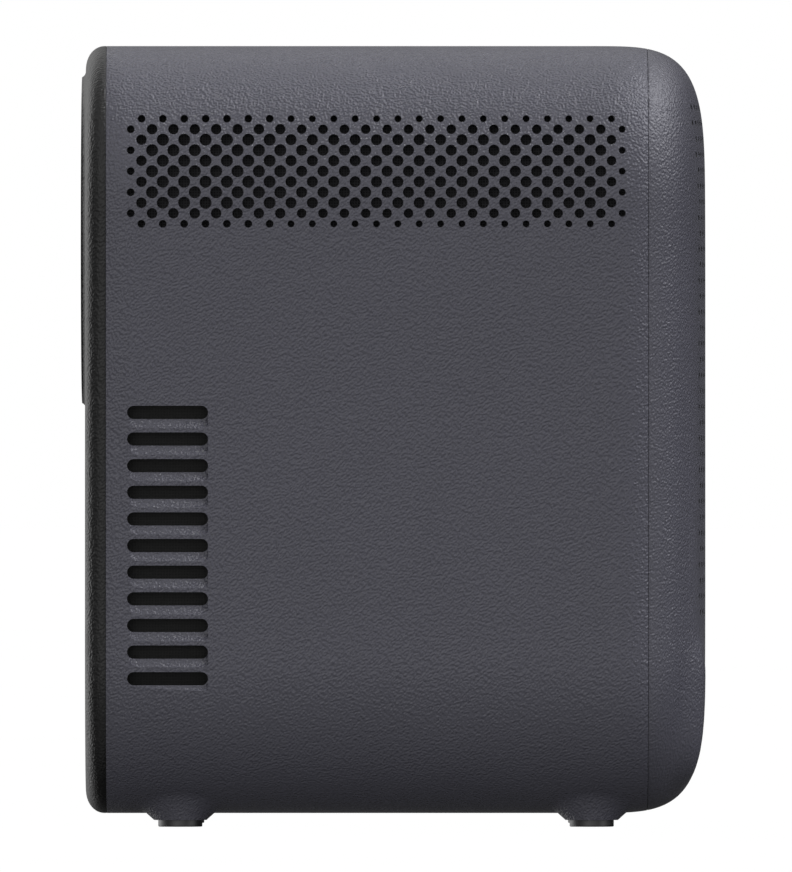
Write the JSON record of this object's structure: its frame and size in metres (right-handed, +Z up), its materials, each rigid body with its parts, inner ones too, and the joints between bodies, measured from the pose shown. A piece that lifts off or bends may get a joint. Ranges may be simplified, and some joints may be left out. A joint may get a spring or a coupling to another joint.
{
  "type": "video projector",
  "caption": "Upright home projector: rounded grey case with side vents and louvres, black front panel with a round lens window, light engine, fans, speakers and sockets inside.",
  "frame": {"origin": "on the floor under the middle of the case's bounding box, at the underside of the rubber feet", "axes": "+Z up; the lens looks along -Y; the sockets and the crowned perforated back face +Y; +X is the side with the louvres seen when the lens is on the left of the viewer"},
  "size_m": [0.15, 0.1624, 0.2028],
  "materials": {
    "case_grey": "satin grain, graphite grey",
    "panel_black": "satin black",
    "trim_black": "polished black",
    "window_glass": "tinted clear, polished",
    "lens_glass": "coated, polished",
    "clear_plastic": "clear, polished",
    "lcd_glass": "dark cell with a black border",
    "mirror_silver": "front silvered",
    "rubber_black": "matt",
    "steel": "bright",
    "brass": "turned",
    "aluminium": "extruded",
    "copper": "bare copper tone",
    "engine_black": "moulded, matt",
    "nylon_white": "moulded",
    "fan_black": "moulded",
    "cloth_black": "fine woven",
    "cone_paper": "pulp",
    "board_green": "lacquered laminate",
    "socket_black": "moulded"
  },
  "bodies": {
    "case": {"main_shell": "case_grey", "front_panel": "panel_black", "rear_cover": "case_grey", "port_panel": "panel_black", "base_frame": "engine_black", "tripod_insert": "brass", "foot_front_left": "rubber_black", "foot_rear_left": "rubber_black", "foot_front_right": "rubber_black", "foot_rear_right": "rubber_black", "base_screw_1": "steel", "base_screw_2": "steel", "base_screw_3": "steel", "base_screw_4": "steel", "port_screw_left": "steel", "port_screw_right": "steel", "lens_trim_ring": "trim_black", "lens_window": "window_glass", "ir_window": "trim_black", "engine_housing": "engine_black", "engine_side_cover": "engine_black", "fold_mirror": "mirror_silver", "heat_glass": "clear_plastic", "lower_fresnel_lens": "clear_plastic", "lcd_panel": "lcd_glass", "upper_fresnel_lens": "clear_plastic", "condenser_lens": "clear_plastic", "led_module": "copper", "led_heat_sink": "aluminium", "lens_holder": "engine_black", "focus_motor": "steel", "exhaust_fan_frame": "fan_black", "blower_case": "fan_black", "slot_dust_mesh_left": "cloth_black", "slot_dust_mesh_right": "cloth_black", "rear_dust_mesh": "cloth_black", "speaker_box_left": "engine_black", "speaker_box_right": "engine_black", "speaker_cone_left": "cone_paper", "speaker_cone_right": "cone_paper", "speaker_mesh_left": "cloth_black", "speaker_mesh_right": "cloth_black", "main_board": "board_green", "processor_heat_sink": "aluminium", "power_board": "board_green", "power_transformer": "copper", "hdmi_socket": "steel", "usb_socket": "steel", "audio_jack": "socket_black", "power_inlet": "socket_black", "button_board": "board_green", "button_spring": "steel"},
    "power_button": {"power_button": "case_grey"},
    "focus_ring": {"focus_gear_ring": "nylon_white"},
    "lens_barrel": {"lens_barrel": "engine_black", "front_lens": "lens_glass", "rear_lens": "lens_glass"},
    "focus_pinion": {"focus_pinion": "brass"},
    "exhaust_fan_rotor": {"exhaust_fan_rotor": "fan_black"},
    "blower_rotor": {"blower_rotor": "fan_black"}
  },
  "joints": [
    {"name": "power_button_press", "type": "slide", "parent": "case", "child": "power_button", "axis": [0, 0, -1], "range_m": [0, 0.001], "stiffness_N_per_m": 900, "springref_m": -0.0009, "deforming": ["button_spring"]},
    {"name": "focus_ring_turn", "type": "hinge", "parent": "case", "child": "focus_ring", "pos_m": [0, -0.0497, 0.1525], "axis": [0, -1, 0], "range_deg": [-60, 60]},
    {"name": "lens_barrel_slide", "type": "slide", "parent": "case", "child": "lens_barrel", "axis": [0, -1, 0], "range_m": [-0.0026, 0.0026]},
    {"name": "focus_pinion_turn", "type": "hinge", "parent": "case", "child": "focus_pinion", "pos_m": [-0.02556, -0.0497, 0.12694], "axis": [0, -1, 0], "range_deg": [-305, 305]},
    {"name": "exhaust_fan_spin", "type": "hinge", "parent": "case", "child": "exhaust_fan_rotor", "pos_m": [0, -0.0392, 0.0542], "axis": [0, -1, 0], "continuous": true},
    {"name": "blower_spin", "type": "hinge", "parent": "case", "child": "blower_rotor", "pos_m": [-0.0649, 0.004, 0.096], "axis": [1, 0, 0], "continuous": true}
  ],
  "couplings": [
    {"joint": "lens_barrel_slide", "follows": "focus_ring_turn", "m_per_rad": 0.0024},
    {"joint": "focus_pinion_turn", "follows": "focus_ring_turn", "ratio": -5}
  ]
}
